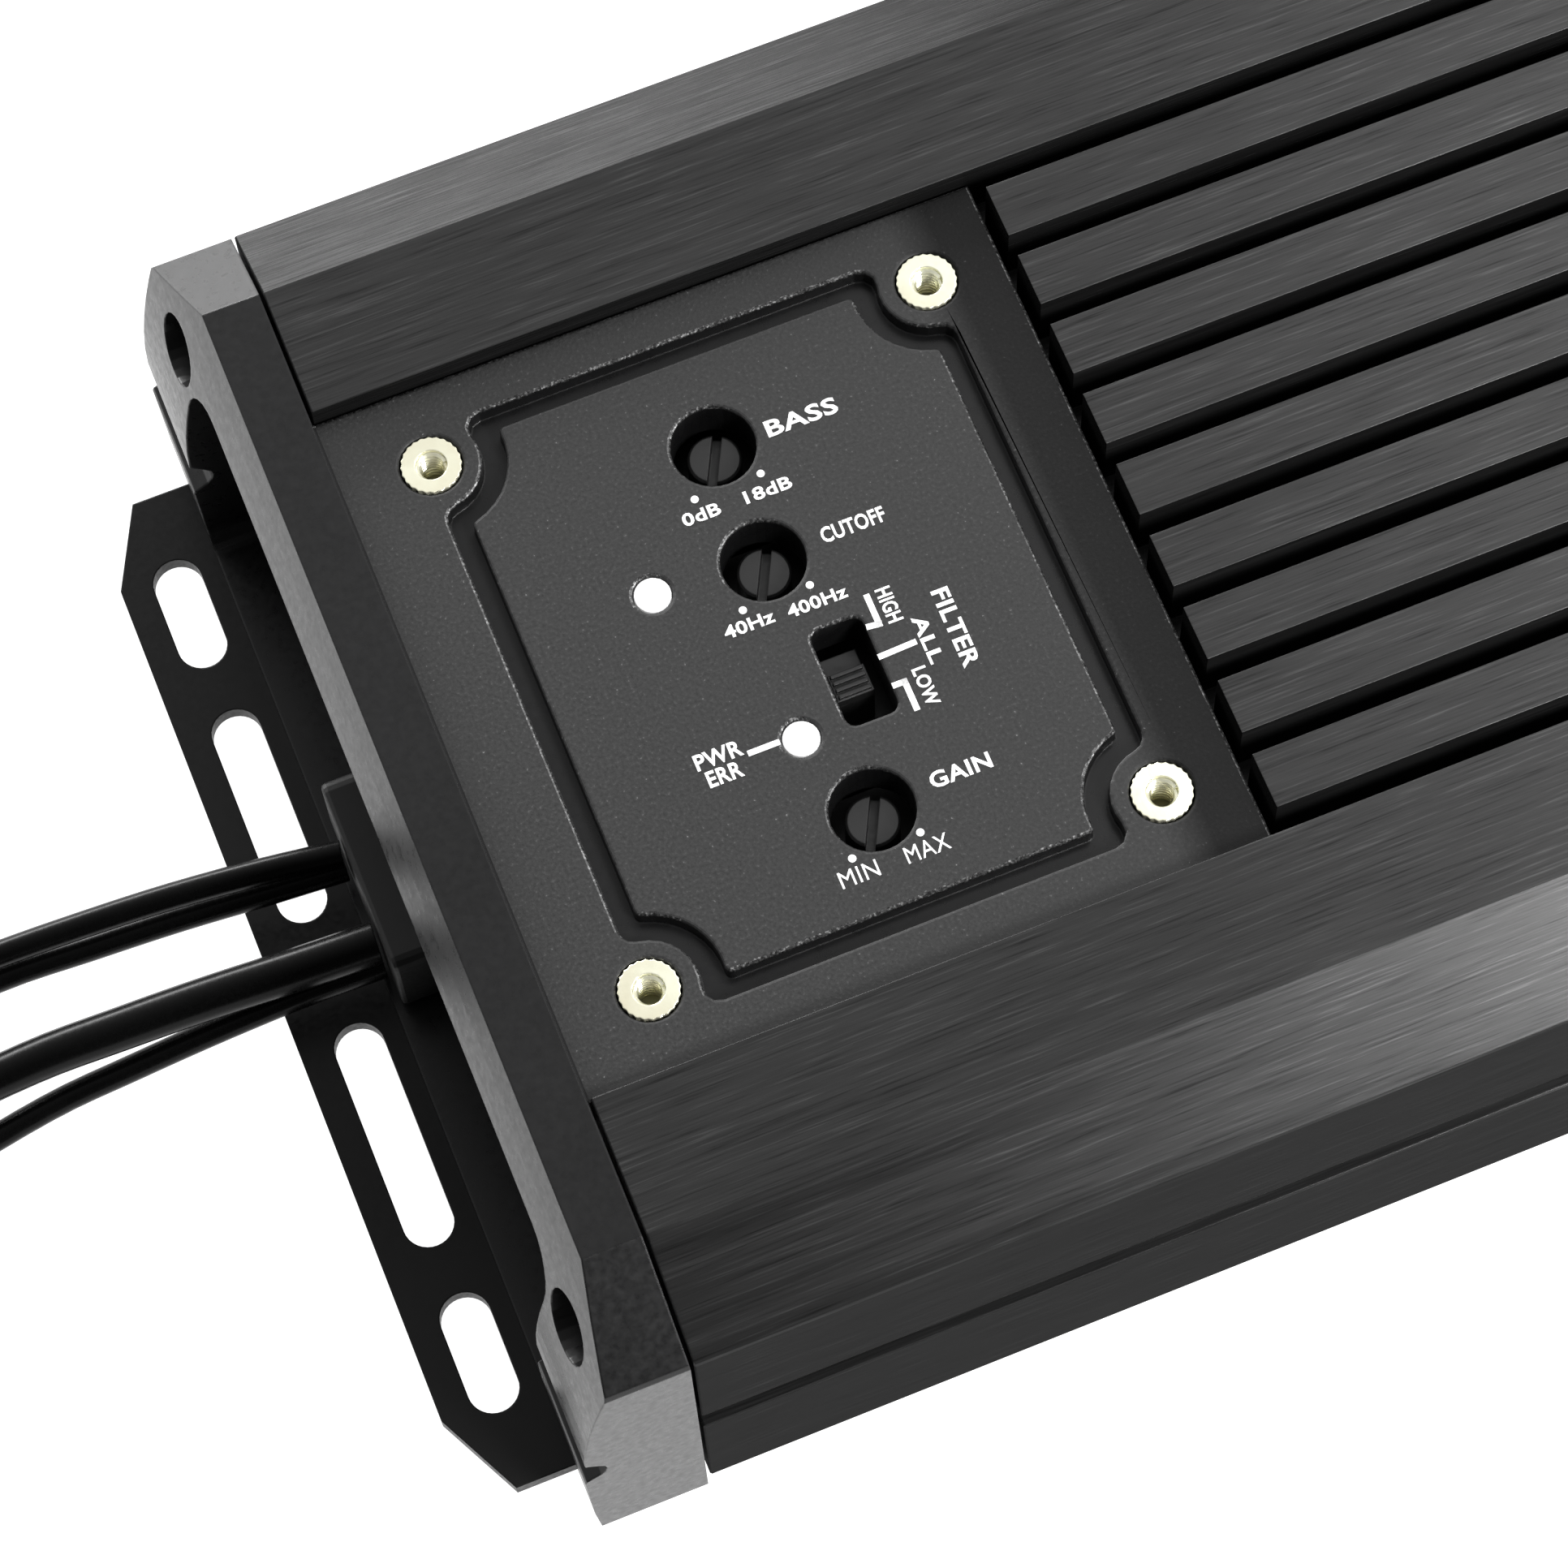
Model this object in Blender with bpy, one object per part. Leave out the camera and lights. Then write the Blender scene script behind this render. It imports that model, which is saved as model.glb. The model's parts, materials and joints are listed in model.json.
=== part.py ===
"""Compact car amplifier with its control cover off: metres, +Z up, X along the ribs, feet at Z = 0."""

import math

import bmesh
import bpy
from mathutils import Vector

MM = 0.001
GAP = 0.3 * MM  # air between pieces that touch

# Extrusion, with the same section for both caps
BODY_LENGTH = 160 * MM
PANEL_LENGTH = 57.6 * MM  # from the extrusion's front end to the ribs
TOP = 42.4 * MM
SIDE = 51.9 * MM  # half the width
TOP_HALF = 42.7 * MM  # half the width of the flat top
CHAMFER_FOOT = 36.0 * MM
BODY_FOOT = 2.8 * MM
CEILING = 32.4 * MM
WALL_INSIDE = 47.4 * MM
SIDE_GROOVE = (17.9 * MM, 21.3 * MM)  # foot and head of the groove along each side
SIDE_GROOVE_DEPTH = 2.3 * MM
RIB_COUNT = 9
RIB_PITCH = 6.7 * MM
RIB_WIDTH = 4.73 * MM
RIB_HEIGHT = 6.5 * MM
FRONT = -BODY_LENGTH / 2
REAR = BODY_LENGTH / 2
RIB_START = FRONT + PANEL_LENGTH
RIB_FIELD_HALF = (RIB_COUNT * RIB_PITCH + RIB_PITCH - RIB_WIDTH) / 2

# End caps
CAP_GAP = 0.3 * MM
CAP_DEPTH_TOP = 5.2 * MM  # from the extrusion's end to the end face, at the top edge
CAP_DEPTH = 9.85 * MM  # the same just above the slit
BULGE = 1.7  # how fast the end face gets to its full depth
SLIT_TOP = 20 * MM
SLIT_ROUND = [  # depth and height of the slit's inner end, from its head to its foot
    (8.8 * MM, 18.9 * MM),
    (8.3 * MM, 18.2 * MM),
    (8.15 * MM, 17.4 * MM),
    (8.3 * MM, 16.7 * MM),
    (8.75 * MM, 16.1 * MM),
]
LIP = [  # depth and height of the lip's face, from its head to its foot
    (9.65 * MM, 15.55 * MM),
    (10.0 * MM, 15.35 * MM),
    (10.15 * MM, 15.0 * MM),
    (10.1 * MM, 11 * MM),
    (9.95 * MM, 5 * MM),
    (9.6 * MM, 0),
]
SEAL_REBATE = 0.9 * MM  # depth of the seal's seat in a cap's back
BOLT_Y = 44.8 * MM
BOLT_Z = 34.1 * MM
BOLT_HEAD = (5.5 * MM, 3.0 * MM)  # diameter and height
BOLT_SHANK = (3.0 * MM, 13 * MM)
BOLT_SEAT = 6.3 * MM  # diameter of the hole round the head
BOLT_WALL = 2.8 * MM  # of cap under the bolt's head
MOUTH_HALF = 41.2 * MM
MOUTH = (6.1 * MM, 35.6 * MM)
MOUTH_CORNER = (4.6 * MM, 2.0 * MM)  # radius at the head and at the foot
MOUTH_BACK = 2.4 * MM  # from the extrusion's end to the mouth's back wall

# Control panel
PANEL_TOP = TOP - 1.8 * MM
PANEL_THICK = 4.2 * MM
PANEL_HALF = RIB_FIELD_HALF - GAP
PANEL_END = RIB_START - 0.9 * MM
PANEL_X = RIB_START - 28.75 * MM  # middle of the inserts and of the plateau
INSERT_OFFSET = (21.42 * MM, 24.0 * MM)
INSERT = (4.95 * MM, 5.0 * MM, 2.6 * MM)  # outer diameter, length and bore
MOAT_HALF = (21.9 * MM, 26.9 * MM)
PLATEAU_HALF = (20.15 * MM, 25.05 * MM)
MOAT_SCALLOP = (4.1 * MM, 1.3 * MM)  # radius round an insert, and of the points beside it
PLATEAU_SCALLOP = (6.1 * MM, 0.5 * MM)
MOAT_DEPTH = 1.6 * MM
TRIMMER_X = RIB_START - 28.7 * MM
TRIMMERS = {"bass": 16.9 * MM, "crossover": 6.1 * MM, "gain": -16.8 * MM}
TRIMMER_HOLE = 6.9 * MM
TRIMMER_SHAFT = 4.4 * MM
TRIMMER_DEPTH = 2.5 * MM  # from the panel's face down to the shaft's end
SLOT_ANGLE = math.radians(63)
SWITCH_AT = (RIB_START - 25.6 * MM, -5.45 * MM)
SWITCH_OPENING = (4.4 * MM, 8.7 * MM, 0.9 * MM)  # across, along and corner
SLIDER = (3.1 * MM, 4.2 * MM)
SLIDER_AT = (SWITCH_AT[0] - 0.35 * MM, SWITCH_AT[1] + 0.9 * MM)
LENSES = {"power": (-31.6 * MM, -9.15 * MM), "status": (-37.9 * MM, 6.7 * MM)}
LENS = 3.0 * MM

# Mounting brackets
BRACKET = (3.0 * MM, 4.6 * MM)
BRACKET_REACH = 18.8 * MM  # from the extrusion's end to the bracket's outer edge
BRACKET_HALF = 47.4 * MM
BRACKET_CHAMFER = (3.7 * MM, 7.5 * MM)
BRACKET_INSIDE = 2.0 * MM
SLOT_WIDTH = 4.3 * MM
SLOT_REACH = 13.9 * MM
SLOTS = ((30.3 * MM, 41.0 * MM), (5.0 * MM, 25.8 * MM))  # inner and outer ends, mirrored in Y
BRACKET_SCREW_AT = (4.6 * MM, 28 * MM)  # from the extrusion's end, and off the middle

# Inside
BASE_TOP = 4.6 * MM
BASE_SCREWS = (62 * MM, 45.1 * MM)
RAIL = (42.9 * MM, 4.9 * MM, 10.5 * MM)  # inner face, foot and head of the rail for the base screws
BOARD = (10.4 * MM, 12.0 * MM)
CONTROL_BOARD = (24.0 * MM, 25.6 * MM)

GLAND = (-89.3 * MM, -82.9 * MM, -6.0 * MM, 12.2 * MM, 6.2 * MM, 15.6 * MM)

# Leads, in mm: diameter, the way down from the gland to the floor, then the lane along the floor
# to its coil, the coil's x and the side it turns to
LEADS = {
    "input_lead_far": (
        2.3,
        [
            (-96, 7.7, 12.2), (-104, 8.7, 11.8), (-112, 9.5, 10.9),
            (-120, 10.3, 9.4), (-130, 11.3, 6.6), (-140, 12.4, 3.5),
        ],
        (13.0, -160, 1),
    ),
    "input_lead_near": (
        2.3,
        [
            (-96, 6.9, 9.4), (-104, 7.7, 9.0), (-112, 8.4, 8.2),
            (-120, 9.2, 6.9), (-130, 9.4, 4.2), (-140, 7.0, 1.9),
        ],
        (2.9, -196, 1),
    ),
    "power_lead": (
        3.7,
        [
            (-96, -1.2, 11.3), (-104, -0.6, 10.9), (-112, 0, 9.9),
            (-120, 0.6, 8.4), (-130, 0.6, 5.6), (-140, -1.3, 3.1),
        ],
        (-4.6, -207, -1),
    ),
    "speaker_lead": (
        2.3,
        [
            (-96, -2.1, 7.8), (-104, -2.0, 6.9), (-112, -2.0, 5.6),
            (-120, -2.0, 3.8), (-130, -3.3, 1.9), (-140, -6.3, 1.2),
        ],
        (-9.6, -164, -1),
    ),
}
LEAD_EXITS = {  # y and z at the gland
    "input_lead_far": (6.7, 12.3),
    "input_lead_near": (6.4, 9.6),
    "power_lead": (-1.5, 11.4),
    "speaker_lead": (-2.3, 8.0),
}
COIL_TURN = 11  # diameters across, at the middle of the turns
PLUGS = {  # name, width and length in mm
    "input_lead_far": ("input_jack_far", 9, 25),
    "input_lead_near": ("input_jack_near", 9, 25),
    "power_lead": ("power_plug", 14, 24),
    "speaker_lead": ("speaker_plug", 10, 20),
}


def material(name, colour, roughness, metallic=0.0):
    made = bpy.data.materials.get(name) or bpy.data.materials.new(name)
    made.use_nodes = True
    shader = made.node_tree.nodes["Principled BSDF"]
    shader.inputs["Base Color"].default_value = (*colour, 1)
    shader.inputs["Roughness"].default_value = roughness
    shader.inputs["Metallic"].default_value = metallic
    return made


def finish(name, bm, look=None, origin=(0, 0, 0), parent=None, round_shape=False):
    """Make an object of the bmesh, with its origin at the given point."""
    origin = Vector(origin)
    bmesh.ops.translate(bm, verts=bm.verts, vec=-origin)
    bmesh.ops.recalc_face_normals(bm, faces=bm.faces)
    mesh = bpy.data.meshes.new(name)
    bm.to_mesh(mesh)
    bm.free()
    if round_shape:
        mesh.shade_smooth()
        mesh.set_sharp_from_angle(angle=math.radians(35))
    obj = bpy.data.objects.new(name, mesh)
    bpy.context.collection.objects.link(obj)
    obj.location = origin
    obj.parent = parent
    if look:
        mesh.materials.append(look)
    else:
        obj.hide_render = True
        obj.display_type = "WIRE"
    return obj


def add_prism(bm, outline, axis, start, end):
    """Extrude an outline along an axis. The outline is in the other two axes, in X, Y, Z order."""
    def place(u, v, w):
        return {"X": (w, u, v), "Y": (u, w, v), "Z": (u, v, w)}[axis]

    low = [bm.verts.new(place(u, v, start)) for u, v in outline]
    high = [bm.verts.new(place(u, v, end)) for u, v in outline]
    bm.faces.new(low)
    bm.faces.new(high)
    for i in range(len(outline)):
        j = (i + 1) % len(outline)
        bm.faces.new((low[i], low[j], high[j], high[i]))
    return bm


def add_box(bm, x, y, z):
    return add_prism(bm, [(x[0], y[0]), (x[1], y[0]), (x[1], y[1]), (x[0], y[1])], "Z", z[0], z[1])


def circle(u, v, radius, sides=32):
    turns = [math.tau * i / sides for i in range(sides)]
    return [(u + radius * math.cos(a), v + radius * math.sin(a)) for a in turns]


def arc(u, v, radius, start, end, steps=6):
    """Points on an arc, with its angles in degrees."""
    angles = [math.radians(start + (end - start) * i / steps) for i in range(steps + 1)]
    return [(u + radius * math.cos(a), v + radius * math.sin(a)) for a in angles]


def rounded(low, high, radius, steps=4):
    """A rectangle with rounded corners."""
    (u0, v0), (u1, v1) = low, high
    corners = ((u1, v1, 0), (u0, v1, 90), (u0, v0, 180), (u1, v0, 270))
    points = []
    for u, v, start in corners:
        middle = (u + math.copysign(radius, u0 + u1 - 2 * u), v + math.copysign(radius, v0 + v1 - 2 * v))
        points += arc(*middle, radius, start, start + 90, steps)
    return points


def prism(name, outline, axis, start, end, look=None, **how):
    return finish(name, add_prism(bmesh.new(), outline, axis, start, end), look, **how)


def box(name, x, y, z, look=None, **how):
    return finish(name, add_box(bmesh.new(), x, y, z), look, **how)


def boolean(obj, other, operation):
    made = obj.modifiers.new(f"{operation.title()} {other.name}", "BOOLEAN")
    made.operation = operation
    made.solver = "EXACT"
    made.object = other
    return obj


def bevel(obj, width, segments=1, angle=40):
    made = obj.modifiers.new("Bevel", "BEVEL")
    made.width = width
    made.segments = segments
    made.limit_method = "ANGLE"
    made.angle_limit = math.radians(angle)


def mirrored(half):
    """An outline symmetrical in its first value, from its points on the positive side."""
    return half + [(-u, v) for u, v in reversed(half)]


def section(foot, with_groove):
    side = [(SIDE, CHAMFER_FOOT)]
    if with_groove:
        floor = SIDE - SIDE_GROOVE_DEPTH
        low, high = SIDE_GROOVE
        side += [(SIDE, high), (floor, high), (floor, low), (SIDE, low)]
    return mirrored([(TOP_HALF, TOP), *side, (SIDE, foot)])


def hollow_section():
    """The extrusion's inside, open at the foot, with a rail for screws and a port for each bolt."""
    rail_in, rail_foot, rail_head = RAIL
    port_foot, port_in, shoulder_in = 28.7 * MM, 40.3 * MM, 33.6 * MM
    shoulder_ceiling = TOP - 3.5 * MM
    return mirrored([
        (shoulder_in, CEILING),
        (shoulder_in, shoulder_ceiling),
        (port_in, shoulder_ceiling),
        (port_in, port_foot),
        (WALL_INSIDE, port_foot),
        (WALL_INSIDE, rail_head),
        (rail_in, rail_head),
        (rail_in, rail_foot),
        (WALL_INSIDE, rail_foot),
        (WALL_INSIDE, 0),
    ])


def bolt_holes(name, start, end, radius):
    bm = bmesh.new()
    for side in (-1, 1):
        add_prism(bm, circle(side * BOLT_Y, BOLT_Z, radius, 24), "X", start, end)
    return finish(name, bm)


def heatsink_chassis(look):
    bolt_clear = BOLT_SHANK[0] / 2 + 0.2 * MM
    chassis = prism("heatsink_chassis", section(BODY_FOOT, True), "X", FRONT, REAR, look)
    bevel(chassis, 0.15 * MM)
    inside = prism("cut_inside", hollow_section(), "X", FRONT - 5 * MM, REAR + 5 * MM)
    grooves = bmesh.new()
    groove_half = (RIB_PITCH - RIB_WIDTH) / 2
    for i in range(RIB_COUNT + 1):
        y = (i - RIB_COUNT / 2) * RIB_PITCH
        span = (y - groove_half, y + groove_half)
        add_box(grooves, (RIB_START - 5 * MM, REAR + 5 * MM), span, (TOP - RIB_HEIGHT, TOP + 5 * MM))
    notch = (-RIB_FIELD_HALF, RIB_FIELD_HALF)
    cutters = (
        inside,
        box("cut_notch", (FRONT - 5 * MM, RIB_START), notch, (CEILING - 5 * MM, TOP + 6 * MM)),
        finish("cut_grooves", grooves),
        bolt_holes("cut_bolts_front", FRONT - 2 * MM, FRONT + 14 * MM, bolt_clear),
        bolt_holes("cut_bolts_rear", REAR - 14 * MM, REAR + 2 * MM, bolt_clear),
        screw_holes("cut_base_screws", 1.6 * MM, BODY_FOOT - 1 * MM, RAIL[1] + 5 * MM),
    )
    for cutter in cutters:
        boolean(chassis, cutter, "DIFFERENCE")


def screw_holes(name, radius, foot, head):
    bm = bmesh.new()
    for x in (-BASE_SCREWS[0], BASE_SCREWS[0]):
        for y in (-BASE_SCREWS[1], BASE_SCREWS[1]):
            add_prism(bm, circle(x, y, radius, 16), "Z", foot, head)
    return finish(name, bm)


def end_face(end, out):
    """A cap's outline from the side: its end face bulges, and a slit parts it from its lip."""
    steps = 8
    outline = []
    for i in range(steps + 1):
        share = i / steps
        depth = CAP_DEPTH_TOP + (CAP_DEPTH - CAP_DEPTH_TOP) * (1 - (1 - share) ** BULGE)
        outline.append((depth, TOP - (TOP - SLIT_TOP) * share))
    outline += [*SLIT_ROUND, *LIP, (CAP_GAP, 0), (CAP_GAP, TOP)]
    return [(end + out * depth, z) for depth, z in outline]


def cap(name, end, out, look):
    """A cap's outer shape with its bolt holes, bracket slot and bracket screw holes."""
    far = end + out * 20 * MM
    made = prism(name, section(0, False), "X", end + out * 0.01 * MM, far, look)
    bevel(made, 0.3 * MM)
    side_view = prism(f"shape_{name}", end_face(end, out), "Y", -SIDE - 5 * MM, SIDE + 5 * MM)
    boolean(made, side_view, "INTERSECT")
    slot_y = BRACKET_HALF + GAP
    slot_z = (BRACKET[0] - GAP, BRACKET[1] + GAP)
    inside = end + out * (BRACKET_INSIDE - 0.4 * MM)
    seat = end + out * (CAP_GAP + BOLT_WALL)
    screw_x = end + out * BRACKET_SCREW_AT[0]
    screws = bmesh.new()
    for y in (-BRACKET_SCREW_AT[1], BRACKET_SCREW_AT[1]):
        add_prism(screws, circle(screw_x, y, 3.1 * MM, 20), "Z", -1 * MM, 1.6 * MM)
    shanks = bmesh.new()
    for y in (-BRACKET_SCREW_AT[1], BRACKET_SCREW_AT[1]):
        add_prism(shanks, circle(screw_x, y, 1.6 * MM, 16), "Z", 1 * MM, BRACKET[1] + 1.0 * MM)
    rebate = sorted((end, end + out * (CAP_GAP + SEAL_REBATE)))
    cutters = (
        prism(f"cut_rebate_{name}", seal_outline(GAP), "X", *rebate),
        box(f"cut_slot_{name}", sorted((inside, far)), (-slot_y, slot_y), slot_z),
        bolt_holes(f"cut_heads_{name}", *sorted((seat, far)), BOLT_SEAT / 2),
        bolt_holes(f"cut_shanks_{name}", *sorted((end, seat + out * MM)), BOLT_SHANK[0] / 2 + 0.2 * MM),
        finish(f"cut_screws_{name}", screws),
        finish(f"cut_screw_shanks_{name}", shanks),
    )
    for cutter in cutters:
        boolean(made, cutter, "DIFFERENCE")
    return made


def scalloped(half, rounds_of):
    """A rectangle whose corners are hollowed by an arc round each insert, with rounded points."""
    hx, hy = half
    scallop, corner = rounds_of
    dx, dy = INSERT_OFFSET
    points = []
    for sx, sy in ((1, 1), (-1, 1), (-1, -1), (1, -1)):
        centre = (sx * dx, sy * dy)
        reach = scallop + corner
        on_side = (hx - corner, centre[1] - sy * math.sqrt(reach**2 - (dx - hx + corner) ** 2))
        on_end = (centre[0] - sx * math.sqrt(reach**2 - (dy - hy + corner) ** 2), hy - corner)
        rounds = ((sx * on_side[0], on_side[1]), (on_end[0], sy * on_end[1]))
        starts = ((0 if sx > 0 else 180), (90 if sy > 0 else 270))
        toward = [math.degrees(math.atan2(r[1] - centre[1], r[0] - centre[0])) for r in rounds]
        first = arc(*rounds[0], corner, *turn(starts[0], toward[0] + 180), 3)
        second = arc(*rounds[1], corner, *turn(toward[1] + 180, starts[1]), 3)
        hollow = arc(*centre, scallop, *turn(toward[0], toward[1]), 8)
        run = first + hollow[1:-1] + second
        points += run if sx * sy > 0 else run[::-1]
    return [(PANEL_X + x, y) for x, y in points]


def turn(start, end):
    """The two angles with the shorter way between them."""
    return start, start + (end - start + 180) % 360 - 180


def front_cap(look):
    made = cap("front_cap", FRONT, -1, look)
    mouth_low, mouth_high = MOUTH
    head, foot = MOUTH_CORNER
    mouth = arc(MOUTH_HALF - foot, mouth_low + foot, foot, -90, 0)
    mouth += arc(MOUTH_HALF - head, mouth_high - head, head, 0, 90)
    opening = prism("cut_mouth", mirrored(mouth), "X", FRONT - 25 * MM, FRONT - MOUTH_BACK)
    tongue_z = (PANEL_TOP - PANEL_THICK, PANEL_TOP)
    tongue = box("add_tongue", (FRONT - 4 * MM, PANEL_END), (-PANEL_HALF, PANEL_HALF), tongue_z)
    bosses = bmesh.new()
    bores = bmesh.new()
    for x, y in insert_places():
        add_prism(bosses, circle(x, y, 4.5 * MM, 24), "Z", PANEL_TOP - 7.0 * MM, PANEL_TOP - 3 * MM)
        bore = (PANEL_TOP - INSERT[1] - GAP, PANEL_TOP + 2 * MM)
        add_prism(bores, circle(x, y, INSERT[0] / 2 + 0.1 * MM, 32), "Z", *bore)
    moat = prism("cut_moat", scalloped(MOAT_HALF, MOAT_SCALLOP), "Z", PANEL_TOP - MOAT_DEPTH, TOP)
    plateau_foot = PANEL_TOP - MOAT_DEPTH - 1 * MM
    island = scalloped(PLATEAU_HALF, PLATEAU_SCALLOP)
    plateau = prism("add_plateau", island, "Z", plateau_foot, PANEL_TOP)
    holes = bmesh.new()
    through = (PANEL_TOP - PANEL_THICK - 1 * MM, PANEL_TOP + 1 * MM)
    for y in TRIMMERS.values():
        add_prism(holes, circle(TRIMMER_X, y, TRIMMER_HOLE / 2), "Z", *through)
    for x, y in LENSES.values():
        add_prism(holes, circle(RIB_START + x, y, LENS / 2 + 0.1 * MM, 24), "Z", *through)
    add_prism(holes, switch_opening(), "Z", *through)
    gland_hole = box("cut_gland", (FRONT - 4 * MM, FRONT + MM), (-3.2 * MM, 9.4 * MM), (7.6 * MM, 14.4 * MM))
    boolean(made, opening, "DIFFERENCE")
    boolean(made, tongue, "UNION")
    boolean(made, finish("add_bosses", bosses), "UNION")
    boolean(made, moat, "DIFFERENCE")
    boolean(made, plateau, "UNION")
    for cutter in (finish("cut_bores", bores), finish("cut_holes", holes), gland_hole):
        boolean(made, cutter, "DIFFERENCE")


def switch_opening():
    x, y = SWITCH_AT
    across, along, corner = SWITCH_OPENING
    return rounded((x - across / 2, y - along / 2), (x + across / 2, y + along / 2), corner)


def insert_places():
    dx, dy = INSERT_OFFSET
    return [(PANEL_X + sx * dx, sy * dy) for sx, sy in ((-1, 1), (1, 1), (1, -1), (-1, -1))]


def seal_outline(grow):
    """The seal's outer outline, well inside the cap's, made larger all round by the given amount."""
    inset = 3.2 * MM - grow
    shoulder = TOP_HALF - 1.5 * MM + grow / 2
    side = SIDE - inset
    return mirrored([(shoulder, TOP - inset), (side, CHAMFER_FOOT - MM + grow / 2), (side, 5.6 * MM - grow)])


def gasket(name, end, out, look, open_top):
    """A flat seal in the rebate of a cap's back."""
    inner = [(38 * MM, TOP - 6 * MM), (40 * MM, 28 * MM), (46 * MM, 26 * MM), (46 * MM, 7.4 * MM)]
    near, far = sorted((end + out * CAP_GAP, end + out * (CAP_GAP + SEAL_REBATE - GAP)))
    made = prism(name, seal_outline(0), "X", near, far, look)
    boolean(made, prism(f"cut_{name}", mirrored(inner), "X", near - MM, far + MM), "DIFFERENCE")
    boolean(made, bolt_holes(f"cut_holes_{name}", near - MM, far + MM, 1.9 * MM), "DIFFERENCE")
    if open_top:
        notch = (-RIB_FIELD_HALF - MM, RIB_FIELD_HALF + MM)
        boolean(made, box(f"cut_top_{name}", (near - MM, far + MM), notch, (30 * MM, TOP)), "DIFFERENCE")


def bracket(name, end, out, look):
    inner = end + out * BRACKET_INSIDE
    outer = end + out * BRACKET_REACH
    cut_x, cut_y = BRACKET_CHAMFER
    outline = [
        (inner, BRACKET_HALF),
        (outer - out * cut_x, BRACKET_HALF),
        (outer, BRACKET_HALF - cut_y),
        (outer, -BRACKET_HALF + cut_y),
        (outer - out * cut_x, -BRACKET_HALF),
        (inner, -BRACKET_HALF),
    ]
    made = prism(name, outline, "Z", *BRACKET, look)
    slot_x = end + out * SLOT_REACH
    radius = SLOT_WIDTH / 2
    holes = bmesh.new()
    for near, far in SLOTS:
        for low, high in ((near, far), (-far, -near)):
            ends = ((slot_x - radius, low), (slot_x + radius, high))
            add_prism(holes, rounded(*ends, radius, 8), "Z", 0, 8 * MM)
    for y in (-BRACKET_SCREW_AT[1], BRACKET_SCREW_AT[1]):
        add_prism(holes, circle(end + out * BRACKET_SCREW_AT[0], y, 1.7 * MM, 16), "Z", 0, 8 * MM)
    boolean(made, finish(f"cut_{name}", holes), "DIFFERENCE")


def turned(name, profile, axis, at, look, sides=32, **how):
    """Turn a profile of (radius, distance along the axis) round the axis through a point."""
    bm = bmesh.new()
    rings = []
    for radius, along in profile:
        if radius == 0:
            rings.append([bm.verts.new(spot(axis, at, 0, 0, along))])
            continue
        rings.append([bm.verts.new(spot(axis, at, u, v, along)) for u, v in circle(0, 0, radius, sides)])
    for one, two in zip(rings, rings[1:]):
        for i in range(sides):
            j = (i + 1) % sides
            corners = [one[i % len(one)], one[j % len(one)], two[j % len(two)], two[i % len(two)]]
            bm.faces.new(list(dict.fromkeys(corners)))
    return finish(name, bm, look, round_shape=True, **how)


def spot(axis, at, u, v, along):
    """The point at u, v and along the axis from a point: u and v are the other two axes, in order."""
    offset = {"X": (along, u, v), "Y": (u, along, v), "Z": (u, v, along)}[axis]
    return Vector(at) + Vector(offset)


def bolt(name, end, out, side, look):
    seat = end + out * (CAP_GAP + BOLT_WALL + 0.2 * MM)
    head, height = BOLT_HEAD[0] / 2, BOLT_HEAD[1]
    shank, length = BOLT_SHANK[0] / 2, BOLT_SHANK[1]
    socket, depth = 1.6 * MM, 1.8 * MM
    profile = [(0, height - depth), (socket, height - depth), (socket, height), (head - 0.3 * MM, height)]
    profile += [(head, height - 0.3 * MM), (head, 0), (shank, 0), (shank, -length), (0, -length)]
    profile = [(radius, out * along) for radius, along in profile]
    turned(name, profile, "X", (seat, side * BOLT_Y, BOLT_Z), look, 24)


def small_screw(name, x, y, head, height, length, foot, look):
    """A pan-head screw whose head is at its foot."""
    profile = [(0, 0), (head / 2 - 0.3 * MM, 0), (head / 2, 0.4 * MM), (head / 2, height)]
    profile += [(1.4 * MM, height), (1.4 * MM, height + length), (0, height + length)]
    turned(name, profile, "Z", (x, y, foot), look, 16)


def brass_insert(name, x, y, look):
    diameter, length, bore = INSERT
    foot = PANEL_TOP - length
    teeth = 24
    outline = circle(x, y, diameter / 2, teeth * 2)
    outline = [
        (x + (u - x) * share, y + (v - y) * share)
        for (u, v), share in zip(outline, (1.0, 0.96) * teeth)
    ]
    made = prism(name, outline, "Z", foot, PANEL_TOP, look)
    cutter = prism(f"cut_{name}", circle(x, y, bore / 2, 24), "Z", foot + 0.6 * MM, TOP)
    boolean(made, cutter, "DIFFERENCE")


def trimmer(name, y, shaft_look, body_look):
    body_top = 32.3 * MM
    size = 4.7 * MM
    floor = CONTROL_BOARD[1] + GAP
    spans = ((TRIMMER_X - size, TRIMMER_X + size), (y - size, y + size))
    box(f"{name}_trimmer_body", *spans, (floor, body_top), body_look)
    axis = bpy.data.objects.new(f"{name}_axis", None)
    bpy.context.collection.objects.link(axis)
    axis.location = (TRIMMER_X, y, 0)
    axis.rotation_euler.z = SLOT_ANGLE
    top = PANEL_TOP - TRIMMER_DEPTH
    radius = TRIMMER_SHAFT / 2
    foot = body_top + GAP
    profile = [(0, top), (radius - 0.2 * MM, top), (radius, top - 0.2 * MM), (radius, foot), (0, foot)]
    shaft = turned(f"{name}_trimmer", profile, "Z", (0, 0, 0), shaft_look, parent=axis)
    depth = (top - 1.1 * MM, top + MM)
    slot = box(f"cut_{name}_slot", (-3 * MM, 3 * MM), (-0.4 * MM, 0.4 * MM), depth, parent=axis)
    boolean(shaft, slot, "DIFFERENCE")


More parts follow.
